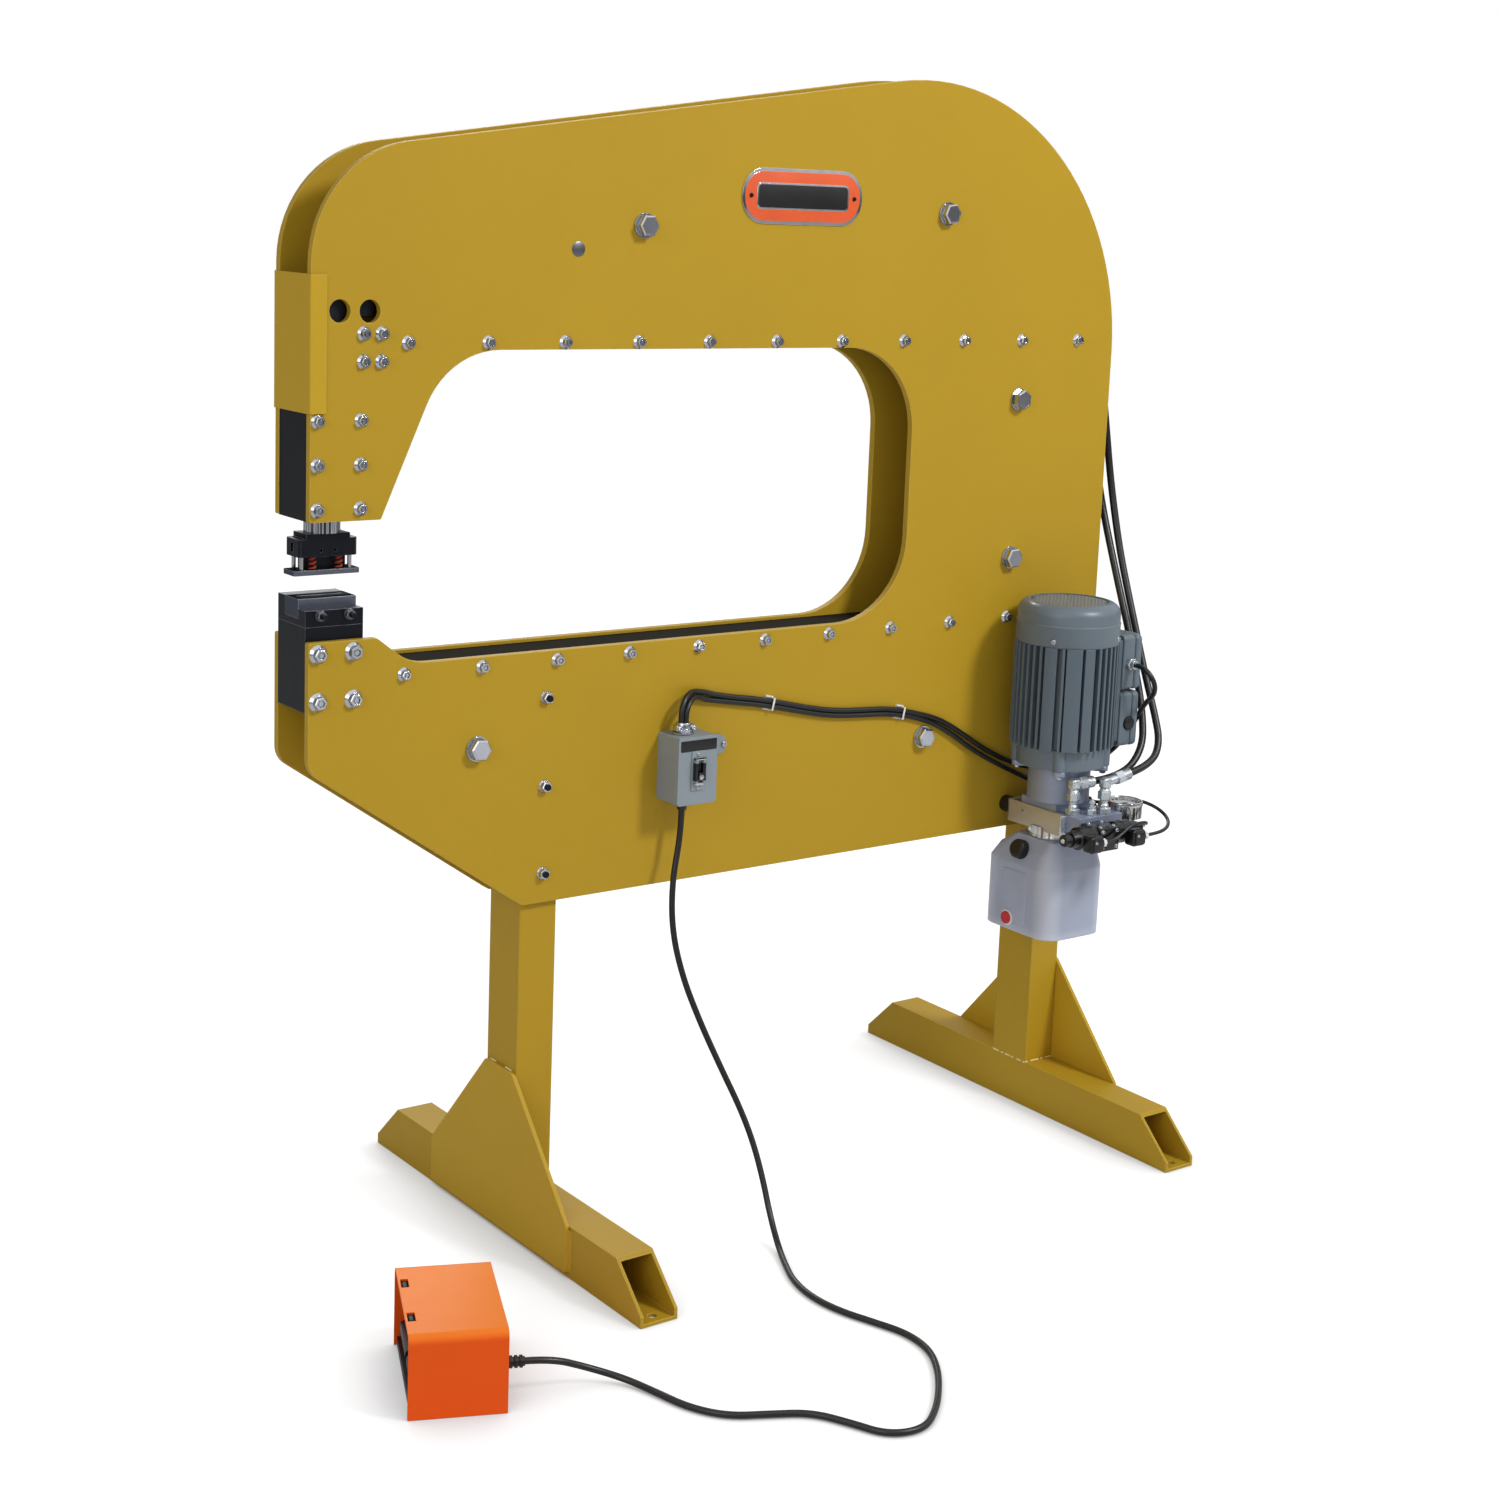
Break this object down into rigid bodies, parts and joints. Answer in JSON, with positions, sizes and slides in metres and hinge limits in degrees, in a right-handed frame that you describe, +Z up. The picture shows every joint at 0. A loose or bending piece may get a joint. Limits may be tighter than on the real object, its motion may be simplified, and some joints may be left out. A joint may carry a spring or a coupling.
{
  "type": "louver press",
  "caption": "Deep-throat hydraulic louver press with plate C-frame on posts and feet, ram tooling at the front, motor, pump and tank at the rear, and a hooded foot switch.",
  "frame": {"origin": "on the floor, at the centre of the four anchor holes in the feet", "axes": "+Z up, +X from the tool end towards the power unit, +Y from the operator's side (power unit, switch box) to the far side"},
  "size_m": [1.5919, 1.231, 1.773],
  "materials": {
    "yellow_paint": "satin enamel",
    "black_steel": "black oxide",
    "dark_bar": "matt dark grey",
    "zinc": "bright zinc",
    "chrome": "hard chrome",
    "steel": "ground",
    "bronze": "plain",
    "motor_grey": "grey enamel",
    "cast_aluminium": "as cast",
    "tank_white": "translucent",
    "red_plastic": "moulded",
    "black_plastic": "moulded",
    "black_rubber": "smooth",
    "box_grey": "grey enamel",
    "orange_paint": "orange enamel",
    "spring_red": "orange-red",
    "white_plastic": "moulded"
  },
  "bodies": {
    "frame": {"near_side_plate": "yellow_paint", "far_side_plate": "yellow_paint", "throat_bars": "dark_bar", "tie_bars": "zinc", "tie_bolts": "zinc", "plate_screws": "zinc", "head_cover": "yellow_paint", "guide_block": "black_steel", "ram_bush": "bronze", "cylinder_barrel": "black_steel", "cylinder_saddle": "steel", "die_block": "black_steel", "die_holder": "black_steel", "die_clamp_screws": "black_steel", "louver_die": "steel", "posts": "yellow_paint", "feet": "yellow_paint", "gussets": "yellow_paint", "motor_frame": "motor_grey", "fan_cover": "motor_grey", "motor_end_bell": "motor_grey", "terminal_boxes": "motor_grey", "pump_adapter": "cast_aluminium", "pump_block": "cast_aluminium", "pump_bracket": "zinc", "rubber_mounts": "black_rubber", "oil_tank": "tank_white", "drain_plug": "red_plastic", "valve_manifold": "cast_aluminium", "valve_body": "steel", "solenoid_coils": "black_plastic", "coil_connectors": "black_plastic", "pressure_gauge": "chrome", "hose_fittings": "zinc", "switch_box": "box_grey", "switch_cover": "box_grey", "cable_glands": "zinc", "cable_clips": "white_plastic", "control_cables": "black_rubber", "solenoid_leads": "black_rubber", "pressure_hose": "black_rubber", "return_hose": "black_rubber", "pedal_guard": "orange_paint", "pedal_base": "black_plastic", "pedal_pin": "steel", "strain_relief": "black_rubber", "pedal_cord": "black_rubber"},
    "ram": {"ram": "chrome", "punch_holder": "black_steel", "louver_punch": "steel", "stripper_springs": "spring_red"},
    "stripper": {"stripper_plate": "steel", "stripper_pins": "chrome"},
    "rotor": {"motor_rotor": "steel", "cooling_fan": "black_plastic"},
    "toggle": {"toggle_lever": "chrome"},
    "needle": {"gauge_needle": "black_plastic"},
    "cap": {"filler_cap": "black_plastic"},
    "left_pedal": {"left_pedal": "black_plastic"},
    "right_pedal": {"right_pedal": "black_plastic"}
  },
  "joints": [
    {"name": "ram_slide", "type": "slide", "parent": "frame", "child": "ram", "axis": [0, 0, -1], "range_m": [0, 0.041]},
    {"name": "stripper_slide", "type": "slide", "parent": "ram", "child": "stripper", "axis": [0, 0, 1], "range_m": [0, 0.01], "deforming": ["stripper_springs"]},
    {"name": "motor_spin", "type": "hinge", "parent": "frame", "child": "rotor", "pos_m": [0.432, -0.15, 0.75], "axis": [0, 0, 1], "continuous": true},
    {"name": "toggle_flip", "type": "hinge", "parent": "frame", "child": "toggle", "pos_m": [-0.291, -0.099, 0.719], "axis": [-1, 0, 0], "range_deg": [0, 40]},
    {"name": "gauge_needle_turn", "type": "hinge", "parent": "frame", "child": "needle", "pos_m": [0.522, -0.218, 0.592], "axis": [0, 0, -1], "range_deg": [0, 270]},
    {"name": "filler_cap_turn", "type": "hinge", "parent": "frame", "child": "cap", "pos_m": [0.3716, -0.134, 0.512], "axis": [-0.9363, 0, 0.3511], "range_deg": [0, 360]},
    {"name": "left_pedal_press", "type": "hinge", "parent": "frame", "child": "left_pedal", "pos_m": [-0.84214, -0.38054, 0.042], "axis": [-0.3955, -0.9184, 0], "range_deg": [0, 10], "stiffness_Nm_per_rad": 2, "springref_deg": -5.73},
    {"name": "right_pedal_press", "type": "hinge", "parent": "frame", "child": "right_pedal", "pos_m": [-0.84214, -0.38054, 0.042], "axis": [-0.3955, -0.9184, 0], "range_deg": [0, 10], "stiffness_Nm_per_rad": 2, "springref_deg": -5.73}
  ],
  "couplings": [
    {"joint": "stripper_slide", "follows": "ram_slide", "ratio": 0.2439}
  ]
}
